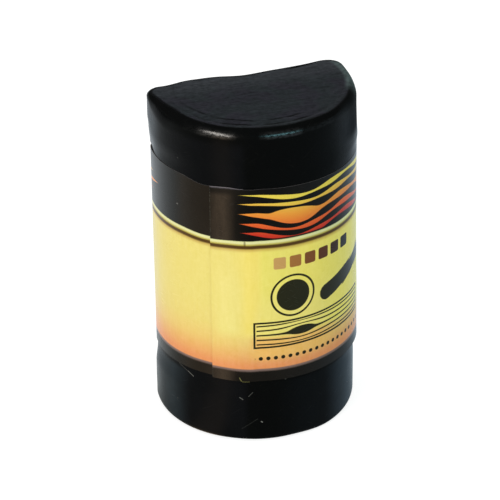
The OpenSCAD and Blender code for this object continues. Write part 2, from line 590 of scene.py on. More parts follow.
class Nodes:
    """A node tree that starts empty."""

    def __init__(self, tree):
        self.tree = tree
        tree.nodes.clear()

    def add(self, kind, inputs=None, **settings):
        """Adds a node, sets its properties, and feeds its inputs with Fields or plain values."""
        node = self.tree.nodes.new(kind)
        for name, value in settings.items():
            setattr(node, name, value)
        for name, value in (inputs or {}).items():
            if isinstance(value, Field):
                self.tree.links.new(value.socket, node.inputs[name])
            else:
                node.inputs[name].default_value = value
        return Placed(self, node)

    def mix(self, share, under, over):
        """The colour under where share is 0 and over where it is 1."""
        return self.add("ShaderNodeMix", {0: share, 6: under, 7: over}, data_type="RGBA").out(2)

    def noise(self, vector, scale, detail=2.0, roughness=0.5):
        inputs = {"Vector": vector, "Scale": scale, "Detail": detail, "Roughness": roughness}
        return self.add("ShaderNodeTexNoise", inputs).out(0)

    def vector(self, x=0.0, y=0.0, z=0.0):
        return self.add("ShaderNodeCombineXYZ", {0: x, 1: y, 2: z}).out(0)

    def split(self, vector):
        parts = self.add("ShaderNodeSeparateXYZ", {0: vector})
        return parts.out(0), parts.out(1), parts.out(2)

    def place(self):
        """Places on the object, in millimetres."""
        whole = self.add("ShaderNodeTexCoord").out("Object")
        return self.add("ShaderNodeVectorMath", {0: whole, "Scale": 1 / mm}, operation="SCALE").out(0)

    def map(self, name):
        """The two places that a piece's map gives, in millimetres."""
        return self.split(self.add("ShaderNodeUVMap", uv_map=name).out(0))[:2]

    def group(self, tree, place_mm, **values):
        """What a shared group gives at those places, with this material's own values."""
        return self.add("ShaderNodeGroup", {"Place": place_mm, **values}, node_tree=tree).out(0)

    def bump(self, height, strength, depth):
        """Surface directions of a relief as deep as depth, in millimetres."""
        inputs = {"Height": height, "Strength": strength, "Distance": depth * mm}
        return self.add("ShaderNodeBump", inputs).out(0)


def distance(x, y):
    return (x * x + y * y).math("SQRT")


def most_of(fields):
    """The largest of some Fields at each place."""
    return functools.reduce(Field.most, fields)


def stroke(x, y, start, end):
    """Distance from the line between two points."""
    run = (end[0] - start[0], end[1] - start[1])
    dx, dy = x - start[0], y - start[1]
    share = (dx * run[0] + dy * run[1]) / (run[0] ** 2 + run[1] ** 2)
    share = share.least(1.0).most(0.0)
    return distance(dx - share * run[0], dy - share * run[1])


def colour_ramp(nodes, value, stops):
    """Colours blended along a value, from stops of value and colour."""
    first, last = stops[0][0], stops[-1][0]
    ramp = nodes.add("ShaderNodeValToRGB", {0: value.ramp(first, last, 0.0, 1.0)})
    bar = ramp.node.color_ramp
    places = [(at - first) / (last - first) for at, _ in stops]
    for place_on_bar in places[1:-1]:
        bar.elements.new(place_on_bar)
    for element, place_on_bar, (_, colour) in zip(bar.elements, places, stops):
        element.position = place_on_bar
        element.color = colour
    return ramp.out(0)


# Effects that the materials share, as node groups

def make_group(name, output, **inputs):
    """An empty node group that takes a Place and those named values, and gives one value."""
    tree = bpy.data.node_groups.new(name, "ShaderNodeTree")
    tree.interface.new_socket(name="Place", in_out="INPUT", socket_type="NodeSocketVector")
    for title, value in inputs.items():
        socket = tree.interface.new_socket(name=title, in_out="INPUT", socket_type="NodeSocketFloat")
        socket.default_value = value
    tree.interface.new_socket(name=output, in_out="OUTPUT", socket_type="NodeSocketFloat")
    nodes = Nodes(tree)
    return tree, nodes, nodes.add("NodeGroupInput")


def make_dust_specks():
    """Lone pale specks: Spacing and Size are in millimetres, and Share is how many of the spots hold one."""
    tree, nodes, given = make_group("dust specks", "Mask", Spacing=3.0, Size=0.1, Share=0.4)
    spacing = given.out("Spacing")
    cell_inputs = {"Vector": given.out("Place"), "Scale": spacing.math("POWER", -1.0)}
    cells = nodes.add("ShaderNodeTexVoronoi", cell_inputs)
    draw = nodes.add("ShaderNodeSeparateColor", {0: cells.out("Color")})
    size = given.out("Size") * draw.out(1).ramp(0.0, 1.0, 0.4, 1.0)
    away = cells.out("Distance") * spacing
    speck = away.rise(size, size * 0.5)
    held = draw.out(0).math("LESS_THAN", given.out("Share"))
    nodes.add("NodeGroupOutput", {0: speck * held})
    return tree


def make_fine_scratches():
    """Faint straight scratches that cross each other: Length and Width are in millimetres."""
    tree, nodes, given = make_group("fine scratches", "Mask", Length=3.0, Width=0.08, Lean=0.6)
    stretch = nodes.vector(given.out("Length"), given.out("Length"), given.out("Width") * 4.0)
    found = []
    for side in (1.0, -1.0):
        turn = nodes.vector(0.0, given.out("Lean") * side, given.out("Lean") * side)
        inputs = {"Vector": given.out("Place"), "Rotation": turn}
        turned = nodes.add("ShaderNodeVectorRotate", inputs, rotation_type="EULER_XYZ").out(0)
        drawn = nodes.add("ShaderNodeVectorMath", {0: turned, 1: stretch}, operation="DIVIDE").out(0)
        found.append(nodes.noise(drawn, 1.0, 1.0).rise(0.68, 0.76))
    nodes.add("NodeGroupOutput", {0: most_of(found)})
    return tree


def make_hand_smudges():
    """Broad soft patches left by handling, from 0 to 1: Size is in millimetres."""
    tree, nodes, given = make_group("hand smudges", "Patch", Size=6.0)
    scale = given.out("Size").math("POWER", -1.0)
    broad = nodes.noise(given.out("Place"), scale, 3.0, 0.6)
    nodes.add("NodeGroupOutput", {0: broad.rise(0.32, 0.68)})
    return tree


dust_specks = make_dust_specks()
fine_scratches = make_fine_scratches()
hand_smudges = make_hand_smudges()


def new_material(name):
    material = bpy.data.materials.new(name)
    material.use_nodes = True
    return material, Nodes(material.node_tree)


def finish_material(nodes, colour, roughness, shine, normal, coat=None):
    """Ends a material in one shader, fed with Fields or plain values."""
    inputs = {"Base Color": colour, "Roughness": roughness, "Specular IOR Level": shine, "Normal": normal}
    shader = nodes.add("ShaderNodeBsdfPrincipled", {**inputs, **(coat or {})})
    nodes.add("ShaderNodeOutputMaterial", {"Surface": shader.out(0)})


# The wax finish

wax_black = srgb(8, 9, 9)
# Painted sheen on the wall left of the front
wax_front_sheen = srgb(14, 15, 17)
# Grey of the top: pale bloom, partly painted sheen; paler at the back as a painted reflection
wax_bloom_sheen = srgb(49, 49, 57)
wax_bloom_sheen_green = srgb(47, 52, 56)
wax_back_sheen = srgb(63, 66, 71)
# Pale painted sheen on the right-hand horn of the rim
horn_sheen = srgb(88, 102, 102)
# Grey-blue painted sheens on the sides
wax_side_sheen = srgb(40, 48, 53)
wax_side_sheen_blue = srgb(54, 64, 75)
# Bluish painted cool sheen on the duller upper-right wall
wax_dull_cool_sheen = srgb(11, 15, 20)
wax_scratch = srgb(130, 130, 124)
wax_speck = srgb(150, 152, 150)
glue_ooze = srgb(150, 145, 85)

# Shine, roughness from clean to smudged, and what scratches, the top, the dull side and the matt gap and back
# rim add to it
wax_shine = 0.05
wax_rough = (0.17, 0.26)
scratch_rough, top_rough, dull_rough, matt_rough = 0.06, 0.32, 0.45, 0.8
polish_rough, polish_ior = 0.24, 1.8
# Strength of the fine scratches and the dust, and depth of the relief in millimetres
scratch_share, dust_share = 0.008, 0.12
wax_relief = 0.04

# Marks on the wall and one painted glint: from and to, as along the front and up in millimetres, half width
# and strength
wax_marks_and_glint = [
    ((-15.0, 8.9), (-12.5, 8.05), 0.05, 0.3),
    ((-13.3, 8.35), (-12.4, 7.95), 0.07, 0.55),
    ((-4.75, 6.55), (-4.25, 7.1), 0.05, 0.35),
    ((-5.85, 6.35), (-5.45, 6.1), 0.08, 0.5),
    ((-5.65, 1.8), (-3.6, 3.3), 0.04, 0.12),
    ((-3.15, 2.9), (-3.0, 2.8), 0.09, 0.9),
    ((-13.95, 38.4), (-13.9, 38.4), 0.12, 0.16),
    ((-15.15, 3.75), (-15.1, 3.75), 0.07, 0.35),
    ((-0.15, 8.65), (0.0, 8.65), 0.06, 0.4),
    # Painted glint on the left of the rim, drawn as a pale mark
    ((-22.3, 42.9), (-22.2, 42.45), 0.12, 0.3),
]
# Thread of adhesive squeezed out under the label's lower edge: its corners, half width and strength
glue_thread = [(-5.8, 8.85), (-5.55, 8.55), (-4.7, 8.6)]
glue_thread_w, glue_thread_share = 0.06, 0.5
# Streaks on the top rim that fingers have polished: from and to along the front, height, half height and
# strength, and the length over which each one comes and goes
rim_streaks = [
    (-13.6, -9.0, 43.0, 0.5, 0.12),
    (-11.6, -5.4, 43.0, 0.65, 0.62),
    (-3.3, 3.0, 43.0, 0.55, 1.0),
    (2.0, 8.0, 43.0, 0.5, 0.16),
]
streak_end = 1.5
# Right-hand horn of the top rim, with a pale painted sheen: from, full from, full to and to along the front,
# from and full from up, and from and full from out of the middle
horn_sheen_span = (13.6, 17.2, 21.2, 25.0)
horn_sheen_up = (stick_h - 1.6, stick_h - 0.4)
horn_sheen_out = (11.5, 12.1)
# Sides with a grey-blue painted sheen: from and full from along the front, from and full from up, strength
# and colour
side_sheens = [
    (-17.2, -20.0, label_top, label_top + 0.4, 1.0, wax_side_sheen),
    (-12.5, -16.8, bare_base, bare_base - 0.6, 1.0, wax_side_sheen),
    (-2.0, 4.0, bare_base, bare_base - 0.6, 0.05, wax_side_sheen_blue),
    (5.5, 12.4, bare_base, bare_base - 0.6, 1.0, wax_side_sheen_blue),
]
# Places on the back, to either side, where the painted side sheens have gone and are still full
side_sheen_reach = (31.0, 26.0)
# Height where the painted sheens on the walls have given way to the rim's clean black, and are still full
clean_rim = (42.4, 41.2)
# How far a face has to look up to count as the top, and how deep under the top's edge its grey is full
top_facing = (0.86, 0.985)
top_fade = (0.002, -0.024)
# Part of the top, towards the back, that is paler as a painted reflection
back_sheen_span = (2.0, 7.5)
# Pouring rings of painted shade along the ripples: distance of the first from the middle of the round front,
# how soon it is full, half width of a ring as a share of the step, middle across, and how far to either side
# they have gone and are still full
ring_start, ring_fade, ring_half_w = 9.7, 0.8, (0.24, 0.06)
ring_x, ring_sides = -2.0, (9.5, 4.5)
# Left of the front where the wax carries a painted sheen: from, full from, full to and to along the front
front_sheen_span = (-18.0, -13.0, -5.6, -4.4)
# Upper wall on the right where the wax is duller, its bluish colour a painted cool sheen: from, full from,
# full to and to along the front, and from and full from up
dull_side = (7.5, 12.5, 21.0, 30.0)
dull_up = (37.6, 39.6)
# Matt black painted in the gap under the lip on the left, as its shade: from, full from, full to and to along
# the front, and the same up from the label's upper edge
gap_shade_side = (-28.0, -25.0, -20.8, -19.4)
gap_shade_up = (-0.5, -0.3, 0.2, 0.34)
# Matt back rim of the top: from and full from to either side, and up, and where it turns into the top
matt_rim_side = (25.5, 28.0)
matt_rim_up = (stick_h - 1.4, stick_h - 0.9)
matt_rim_facing = (0.985, 0.94)


def clouded_top(nodes, place_mm, x, y, from_middle, grain):
    """Pale bloom on the top face, its grey partly painted sheen and paler at the back as a painted
    reflection: its strength, streaked and broken by pouring rings of painted shade, and its colour.
    """
    bloom_sheen = nodes.mix(nodes.noise(place_mm, 0.35, 2.0).rise(0.4, 0.6), wax_bloom_sheen, wax_bloom_sheen_green)
    bloom_sheen = nodes.mix(y.rise(*back_sheen_span), bloom_sheen, wax_back_sheen)
    streaks = nodes.noise(nodes.vector(x * 0.3, y * 3.8), 1.0, 4.0, 0.75)
    # Dark rings: painted shade along the pour ripples
    rings = ((from_middle - ring_start) / ripple_step).math("PINGPONG", 0.5).rise(*ring_half_w)
    rings = rings * from_middle.rise(ring_start - ring_fade, ring_start) * abs(x - ring_x).rise(*ring_sides)
    rings = rings * nodes.noise(place_mm, 0.45, 2.0).rise(0.4, 0.58)
    cloudy = (grain * 0.4 + streaks * 0.6).ramp(0.36, 0.64, 0.36, 1.08)
    return cloudy - rings * streaks.ramp(0.35, 0.6, 0.3, 0.8), bloom_sheen


def polished_streaks(nodes, along, up):
    """Streaks on the top rim that fingers have polished."""
    broken = nodes.noise(nodes.vector(along * 2.2, up * 4.0), 1.0, 3.0, 0.7).rise(0.3, 0.62)
    streaks = []
    for start, end, height, half_height, strength in rim_streaks:
        lengthwise = along.within(start, start + streak_end, end - streak_end, end)
        streaks.append(lengthwise * abs(up - height).rise(half_height, half_height * 0.4) * broken * strength)
    return most_of(streaks)


def make_wax_finish():
    material, nodes = new_material("black filler wax")
    place_mm = nodes.place()
    x, y, _ = nodes.split(place_mm)
    along, up = nodes.map(wax_map)
    facing_up = nodes.split(nodes.add("ShaderNodeNewGeometry").out("Normal"))[2]
    top = facing_up.rise(*top_facing) * up.rise(stick_h / 2, stick_h / 2 + 1.0)
    wander = nodes.noise(place_mm, 0.25, 1.0) - 0.5
    from_middle = distance(x + top_lean, y - front_y) + wander * 0.8
    smudge = nodes.group(hand_smudges, place_mm, Size=4.0)
    scratches = nodes.group(fine_scratches, place_mm, Length=2.6, Width=0.05, Lean=0.7)
    dust = nodes.group(dust_specks, place_mm, Spacing=2.6, Size=0.07, Share=0.3)
    grain = nodes.noise(place_mm, 1.6, 4.0, 0.65)
    ragged = nodes.noise(place_mm, 7.0, 2.0) - 0.5

    # Painted sheens on the walls, the duller wall on the right, and the bloom with its painted sheen on the
    # top
    below_rim = up.rise(*clean_rim)
    # Painted sheen on the wall left of the front
    front_sheen_share = along.within(*front_sheen_span) * below_rim
    colour = nodes.mix(front_sheen_share * smudge.ramp(0.0, 1.0, 0.7, 1.0), wax_black, wax_front_sheen)
    # Grey-blue painted sheen on the sides
    side_sheen_share = smudge.ramp(0.0, 1.0, 0.75, 1.0) * abs(along).rise(*side_sheen_reach) * below_rim
    for start, full, low, high, strength, side_sheen_colour in side_sheens:
        side_sheen = along.rise(start, full) * up.rise(low, high) * strength
        colour = nodes.mix(side_sheen * side_sheen_share, colour, side_sheen_colour)
    # Duller wax on the upper right, coloured with a painted cool sheen
    dull = along.within(*dull_side) * up.rise(*dull_up) * top.inverse()
    colour = nodes.mix(dull * below_rim, colour, wax_dull_cool_sheen)
    # Bloom on the top, its grey partly painted sheen and its paler back a painted reflection
    cloudy, bloom_sheen = clouded_top(nodes, place_mm, x, y, from_middle, grain)
    colour = nodes.mix(top * (up - stick_h).rise(*top_fade) * cloudy, colour, bloom_sheen)
    # Pale painted sheen on the right-hand horn of the rim
    horn_sheen_share = along.within(*horn_sheen_span) * from_middle.rise(*horn_sheen_out)
    horn_sheen_share = horn_sheen_share * (up + (grain - 0.5) * 1.6).rise(*horn_sheen_up)
    colour = nodes.mix(horn_sheen_share * grain.ramp(0.3, 0.6, 0.3, 0.85), colour, horn_sheen)

    # Scratches, dust, marks with one painted glint, and the thread of adhesive
    marks_and_glint = []
    for start, end, half_width, strength in wax_marks_and_glint:
        gap = stroke(along, up, start, end) + ragged * (1.4 * half_width)
        marks_and_glint.append(gap.rise(half_width, half_width * 0.3) * strength)
    marks_and_glint = most_of(marks_and_glint)
    colour = nodes.mix(scratches * scratch_share, colour, wax_scratch)
    colour = nodes.mix(dust * dust_share, colour, wax_speck)
    colour = nodes.mix(marks_and_glint, colour, wax_scratch)
    gap = stroke(along, up, *glue_thread[:2]).least(stroke(along, up, *glue_thread[1:])) + ragged * 0.08
    thread = gap.rise(glue_thread_w, glue_thread_w * 0.3) * glue_thread_share
    colour = nodes.mix(thread, colour, glue_ooze)

    # Painted shade in the gap, as matt black, and the matt back rim, which hardly shine
    gap_shade = along.within(*gap_shade_side) * (up - label_top).within(*gap_shade_up)
    back_rim = abs(along).rise(*matt_rim_side) * facing_up.rise(*matt_rim_facing) * up.rise(*matt_rim_up)
    matt = gap_shade.most(back_rim)
    colour = nodes.mix(matt, colour, wax_black)
    roughness = smudge.ramp(0.0, 1.0, *wax_rough) + scratches * scratch_rough
    roughness = roughness + top * top_rough + dull * dull_rough + matt * matt_rough
    height = grain * 0.6 + nodes.noise(place_mm, 5.0, 3.0) * 0.25 - scratches * 0.04 - marks_and_glint * 0.3
    coat = {
        "Coat Weight": polished_streaks(nodes, along, up),
        "Coat Roughness": polish_rough,
        "Coat IOR": polish_ior,
    }
    finish_material(nodes, colour, roughness, wax_shine, nodes.bump(height, 0.5, wax_relief), coat)
    return material


# The label's print, in millimetres along from the outer end and up from the lower edge

paper_white = srgb(236, 232, 226)
lap_paper = srgb(126, 119, 126)
end_paper = srgb(84, 86, 76)
hand_grey = srgb(120, 110, 90)
header_ink = srgb(6, 5, 3)
footer_ink = srgb(18, 14, 9)
# Paler brown for the painted sheen beside the lap
lap_sheen_ink = srgb(55, 45, 35)
hairline_ink = srgb(128, 106, 98)
cream_ink = srgb(234, 232, 168)
gold_ink = srgb(201, 185, 86)
amber_ink = srgb(176, 124, 46)
brown_ink = srgb(84, 58, 21)
black_ink = srgb(31, 31, 13)
warm_black_ink = srgb(41, 40, 21)
ink_blur = 0.035

# Shine, roughness from clean to smudged and by scratches, and depth of the relief in millimetres
label_shine = 0.25
label_rough, label_scratch_rough = (0.22, 0.28), 0.04
label_relief = 0.02

# Ground of the print, from the orange at its foot up to the yellow: height and colour
ground_inks = [
    (1.6, srgb(237, 148, 93)),
    (2.4, srgb(238, 158, 100)),
    (3.9, srgb(240, 184, 109)),
    (5.4, srgb(241, 206, 119)),
    (7.6, srgb(240, 219, 126)),
    (11.0, srgb(240, 223, 128)),
]
# Patches of the ground: from, full from, full to and to along the label, the same up it, strength and colour.
# The first three paint the light's brighter, warmer and greener cast across the front, the fourth is paler,
# the fifth a paler painted sheen by the lap, and the sixth redder
ground_patches_and_light_tint = [
    # These three paint the warmer, greener cast of the light across the front
    ((2.0, 5.6, 26.0, 54.0), (5.6, 7.4, label_h, label_h + 1), 1.0, srgb(253, 230, 119)),
    ((5.6, 6.7, 26.0, 54.0), (5.5, 6.9, label_h, label_h + 1), 1.0, srgb(244, 230, 115)),
    ((8.0, 13.0, 26.0, 54.0), (5.5, 6.9, label_h, label_h + 1), 1.0, srgb(253, 234, 114)),
    ((5.0, 6.2, 14.0, 18.0), (5.6, 7.4, 9.5, 14.5), 0.5, srgb(249, 230, 136)),
    # Painted sheen beside the lap
    ((0.2, 1.5, 2.4, 4.8), (5.6, 7.8, 13.0, 17.5), 1.0, srgb(244, 228, 136)),
    ((4.4, 5.8, 14.0, 18.0), (2.6, 4.0, 5.6, 6.8), 1.0, srgb(248, 193, 107)),
]
# Lines between the ground and the header, each over the one before: from and full from up, strength and ink
print_lines = [
    (18.26, 18.84, 0.55, amber_ink),
    (18.72, 19.0, 1.0, brown_ink),
    (19.24, 19.48, 1.0, gold_ink),
    (19.42, 19.7, 1.0, cream_ink),
]
header_edge = (19.87, 20.04)
hairline_edge = (1.88, 1.7)
footer_edge = (1.66, 1.3)
# How far the lines and the header's foot lie higher by the outer end, and where along the label that has gone
# and is still full
line_lift = 0.11
line_lift_u = (18.0, 12.0)
# Paler brown painted sheen on the dark inks beside the lap: from, full from, full to and to by the outer end,
# height where that has gone and is still full, and from, full from and share by the inner end
lap_sheen_end = (-1.2, 1.5, 1.6, 3.4)
lap_sheen_up = (26.9, 26.1)
lap_sheen_inner, lap_sheen_inner_share = (65.0, 67.5), 0.3
# Frayed cut of the outer end: where it has gone and is full, and its strength on dark inks and on the ground
cut_end = (0.14, 0.04)
dark_fray, pale_fray = 0.5, 0.05
# Bare paper along the upper edge: its width, with what chipping and the lap add, and its strength
bare_edge, chipped_edge, lapped_edge = 0.03, 0.05, 0.1
bare_share = (0.1, 0.75)
lap_blur = 0.2
# Marks on the label: from and to along it and up it, half width, strength and colour
label_marks = [
    ((4.32, 19.5), (4.32, 19.95), 0.17, 0.6, brown_ink),
    ((66.05, 22.8), (66.15, 22.8), 0.13, 0.14, paper_white),
    ((3.5, 0.5), (3.75, 0.0), 0.08, 0.5, glue_ooze),
]

# Wood grain in flame colours along the header: its knots along and up, how far they stretch and how large
# they are, the strands' spacing, middle height, sway, thickness and ends, and the eyes in the knots
flame_inks = [
    (20.6, srgb(205, 52, 34)),
    (22.2, srgb(236, 104, 46)),
    (23.8, srgb(243, 158, 60)),
    (25.8, srgb(240, 214, 84)),
]
flame_knots = [(10.5, 0.15), (27.0, -0.2), (43.5, 0.1)]
flame_stretch, flame_knot_r, flame_step, flame_v = 2.6, 0.95, 1.2, 23.4
sway_rate, sway_h = 0.42, 0.45
flame_half_w, flame_thinning = (0.22, 0.4), 0.06
flame_start, flame_end, flame_end_lean = (2.6, 7.0), (63.4, 57.0), 1.6
flame_clear_u, flame_clear_v = (2.4, 2.8), (20.2, 20.4)
eye_stretch, eye_r, eye_half_w = 2.4, 0.42, 0.17

# Row of shade chips: spacing, count, place, size and shades from the first to the last
chip_step, chip_count, chip_u, chip_v = 2.05, 6, 7.6, 16.7
chip_half_w, chip_half_h, chip_round_r = 0.78, 0.82, 0.25
chip_inks = [
    (0.0, srgb(206, 160, 96)),
    (0.2, srgb(168, 112, 58)),
    (0.4, srgb(128, 76, 40)),
    (0.6, srgb(92, 52, 32)),
    (0.8, srgb(58, 36, 28)),
    (1.0, srgb(24, 22, 20)),
]

# The shade's own spot in its ring, and a rubbed stroke of it that frays towards its end
spot_u, spot_v, spot_r = 10.4, 11.9, 2.2
ring_r, ring_line_half_w = 2.85, 0.14
rub_from, rub_to, rub_half_w = (15.4, 10.9), (23.6, 13.1), 1.15
rub_fray_u, rub_fray = (17.0, 25.0), (0.15, 3.2)
# A plank with its grain
plank_u, plank_v, plank_half_w, plank_half_h = 14.2, 6.6, 8.8, 1.75
plank_line_half_w, plank_margin = 0.13, 0.25
plank_knots, plank_stretch, plank_knot_r = [(-2.6, 0.1)], 2.8, 0.55
plank_grain_step, plank_grain_half_w = 0.62, 0.1
# Dotted rule
dot_step, dot_v, dot_r = 0.95, 3.25, 0.27
dot_ends = (5.4, 5.5, 24.5, 24.6)
# Strands to each side of the middle one, in the header's grain and in the plank's
strands_each_side = 2


def ink(gap):
    """1 where the gap to a printed shape's edge is below zero, with the press's slight softness."""
    return gap.rise(ink_blur, -ink_blur)


def box_gap(x, y, half_w, half_h):
    """Distance to a box round the origin, below zero inside."""
    return (abs(x) - half_w).most(abs(y) - half_h)


def rounded_gap(x, y, half_w, half_h, round_r):
    """Distance to a box with round corners, below zero inside."""
    dx = (abs(x) - (half_w - round_r)).most(0.0)
    dy = (abs(y) - (half_h - round_r)).most(0.0)
    return distance(dx, dy) - round_r


def grain_strands(u, v, knots, stretch, knot_r, spacing, half_w):
    """Print mask of strands of wood grain that flow along u and part round knots."""
    level = v
    for knot_u, knot_v in knots:
        along, across = (u - knot_u) / stretch, v - knot_v
        reach = (along * along + across * across).most(knot_r**2)
        level = level * (reach.math("POWER", -1.0) * -(knot_r**2) + 1.0)
    from_strand = (level / spacing).math("PINGPONG", 0.5) * spacing
    kept = abs(level).rise(spacing * (strands_each_side + 0.45), spacing * (strands_each_side + 0.35))
    return ink(from_strand - half_w) * kept


def flame_grain(nodes, u, v):
    """Wood grain along the header: its mask and its colours."""
    sway = (u * sway_rate).math("SINE") * sway_h
    grain_v = v - sway - flame_v
    taper = u.rise(*flame_start) * (u + abs(grain_v) * flame_end_lean).rise(*flame_end)
    half_w = taper * (u * 0.9 + v * 0.7).math("SINE").ramp(-1.0, 1.0, *flame_half_w) - flame_thinning
    masks = [grain_strands(u, grain_v, flame_knots, flame_stretch, flame_knot_r, flame_step, half_w)]
    for knot_u, knot_v in flame_knots:
        reach = distance((u - knot_u) / eye_stretch, grain_v - knot_v)
        masks.append(ink(abs(reach - eye_r) - eye_half_w))
    mask = most_of(masks) * v.rise(*flame_clear_v) * u.rise(*flame_clear_u)
    return mask, colour_ramp(nodes, v - sway, flame_inks)


def shade_chips(nodes, u, v):
    """Row of shade chips: its mask and its colours."""
    slot_u = (u - chip_u) / chip_step
    number = slot_u.math("FLOOR")
    across = (slot_u - number - 0.5) * chip_step
    mask = ink(rounded_gap(across, v - chip_v, chip_half_w, chip_half_h, chip_round_r))
    mask = mask * number.math("GREATER_THAN", -0.5) * number.math("LESS_THAN", chip_count - 0.5)
    return mask, colour_ramp(nodes, number / (chip_count - 1), chip_inks)


def dark_designs(nodes, u, v):
    """Mask of the spot in its ring, the rubbed stroke, the plank with its grain and the dotted rule."""
    from_spot = distance(u - spot_u, v - spot_v)
    dry = nodes.noise(nodes.vector(u * 0.35, v * 4.5 - u * 1.6), 1.0, 2.0) - 0.45
    rub = stroke(u, v, rub_from, rub_to) - rub_half_w + dry * u.ramp(*rub_fray_u, *rub_fray)
    across, above = u - plank_u, v - plank_v
    edge = box_gap(across, above, plank_half_w, plank_half_h)
    grain_sizes = (plank_stretch, plank_knot_r, plank_grain_step, plank_grain_half_w)
    grain = grain_strands(across, above, plank_knots, *grain_sizes)
    from_dot = (u / dot_step).math("FRACT") * dot_step - dot_step / 2
    dots = ink(distance(from_dot, v - dot_v) - dot_r) * u.within(*dot_ends)
    return most_of([
        ink(from_spot - spot_r),
        ink(abs(from_spot - ring_r) - ring_line_half_w),
        ink(rub),
        ink(abs(edge) - plank_line_half_w),
        grain * ink(edge + plank_margin),
        dots,
    ])


def make_label_print():
    material, nodes = new_material("printed label")
    u, v = nodes.map(label_map)
    flat = nodes.vector(u, v)
    place_mm = nodes.place()
    press_grain = nodes.noise(flat, 5.0, 3.0, 0.7)

    # The ground and the bands
    colour = colour_ramp(nodes, v, ground_inks)
    # Patches of the ground, with its painted light tint and sheen
    for patch_u, patch_v, strength, patch_ink in ground_patches_and_light_tint:
        colour = nodes.mix(u.within(*patch_u) * v.within(*patch_v) * strength, colour, patch_ink)
    drawn_ink = nodes.noise(nodes.vector(u * 2.4, v * 0.3), 1.0, 3.0, 0.7)
    tone = (nodes.noise(flat, 1.4, 4.0, 0.7) + drawn_ink).ramp(0.6, 1.4, -0.035, 0.035)
    colour = nodes.add("ShaderNodeBrightContrast", {"Color": colour, "Bright": tone}).out(0)
    line_v = v - u.rise(*line_lift_u) * line_lift
    for start, full, strength, line_ink in print_lines:
        colour = nodes.mix(line_v.rise(start, full) * strength, colour, line_ink)
    header = line_v.rise(*header_edge)
    footer = v.rise(*footer_edge)
    colour = nodes.mix(header, colour, header_ink)
    colour = nodes.mix(v.rise(*hairline_edge), colour, hairline_ink)
    colour = nodes.mix(footer, colour, footer_ink)

    # Painted sheen beside the lap, and frayed ends
    dark_bands = header.most(footer)
    lap_sheen_breakup = nodes.noise(nodes.vector(u * 1.2, v * 0.35), 1.0, 3.0, 0.6).ramp(0.3, 0.65, 0.6, 1.0)
    lap_sheen = u.within(*lap_sheen_end) * v.rise(*lap_sheen_up) * lap_sheen_breakup * press_grain.ramp(0.35, 0.65, 0.8, 1.15)
    lap_sheen = lap_sheen.most(u.rise(*lap_sheen_inner) * lap_sheen_inner_share)
    # Painted sheen: paler brown on the dark bands beside the lap
    colour = nodes.mix(dark_bands * lap_sheen, colour, lap_sheen_ink)
    frayed = u.rise(*cut_end)
    colour = nodes.mix(dark_bands * frayed * press_grain.rise(0.42, 0.62) * dark_fray, colour, end_paper)
    pale_frayed = dark_bands.inverse() * frayed * press_grain.rise(0.35, 0.6) * pale_fray
    colour = nodes.mix(pale_frayed, colour, brown_ink)

    # The designs
    for mask, inks in (flame_grain(nodes, u, v), shade_chips(nodes, u, v)):
        colour = nodes.mix(mask, colour, inks)
    dark_ink = nodes.mix(press_grain, black_ink, warm_black_ink)
    colour = nodes.mix(dark_designs(nodes, u, v), colour, dark_ink)

    # The uninked upper edge, marks, handling and dust
    lapped = u.rise(girth - lap_blur, girth + lap_blur)
    chipping = press_grain.ramp(0.4, 0.75, 0.0, chipped_edge) + lapped * lapped_edge
    bare = v.math("MULTIPLY_ADD", -1.0, label_h).rise(chipping + bare_edge, chipping)
    colour = nodes.mix(bare * lapped.ramp(0.0, 1.0, *bare_share), colour, lap_paper)
    for start, end, half_width, strength, mark_ink in label_marks:
        mark = stroke(u, v, start, end).rise(half_width, half_width * 0.4) * strength
        colour = nodes.mix(mark, colour, mark_ink)
    smudge = nodes.group(hand_smudges, place_mm, Size=7.0)
    scratches = nodes.group(fine_scratches, place_mm, Length=2.0, Width=0.04, Lean=0.5)
    dust = nodes.group(dust_specks, place_mm, Spacing=3.2, Size=0.07, Share=0.3)
    colour = nodes.mix(scratches * 0.004, colour, paper_white)
    colour = nodes.mix(dust * 0.08, colour, paper_white)
    colour = nodes.mix(smudge * 0.012, colour, hand_grey)

    roughness = smudge.ramp(0.0, 1.0, *label_rough) + scratches * label_scratch_rough
    height = nodes.noise(flat, 2.2, 4.0, 0.6) * 0.7 + press_grain * 0.3 - scratches * 0.04
    finish_material(nodes, colour, roughness, label_shine, nodes.bump(height, 0.4, label_relief))
    return material


# The label's bare edges and back, and its adhesive

cut_paper, cut_paper_pale, cut_paper_dust = srgb(62, 60, 60), srgb(94, 91, 91), srgb(126, 122, 116)
adhesive_clear, adhesive_pale, adhesive_dirt = srgb(186, 176, 150), srgb(214, 207, 186), srgb(70, 66, 60)


def make_cut_paper():
    material, nodes = new_material("cut label paper")
    place_mm = nodes.place()
    fibres = nodes.noise(place_mm, 6.0, 4.0, 0.7)
    dust = nodes.group(dust_specks, place_mm, Spacing=0.8, Size=0.12, Share=0.5)
    colour = nodes.mix(fibres, cut_paper, cut_paper_pale)
    colour = nodes.mix(dust * 0.4, colour, cut_paper_dust)
    roughness = fibres.ramp(0.0, 1.0, 0.6, 0.85)
    finish_material(nodes, colour, roughness, 0.2, nodes.bump(fibres, 0.5, label_relief))
    return material


def make_adhesive_finish():
    material, nodes = new_material("label adhesive")
    place_mm = nodes.place()
    smudge = nodes.group(hand_smudges, place_mm, Size=1.2)
    dust = nodes.group(dust_specks, place_mm, Spacing=0.9, Size=0.15, Share=0.6)
    colour = nodes.mix(smudge, adhesive_clear, adhesive_pale)
    colour = nodes.mix(dust * 0.6, colour, adhesive_dirt)
    roughness = smudge.ramp(0.0, 1.0, 0.35, 0.55)
    finish_material(nodes, colour, roughness, 0.3, nodes.bump(smudge, 0.4, label_relief))
    return material


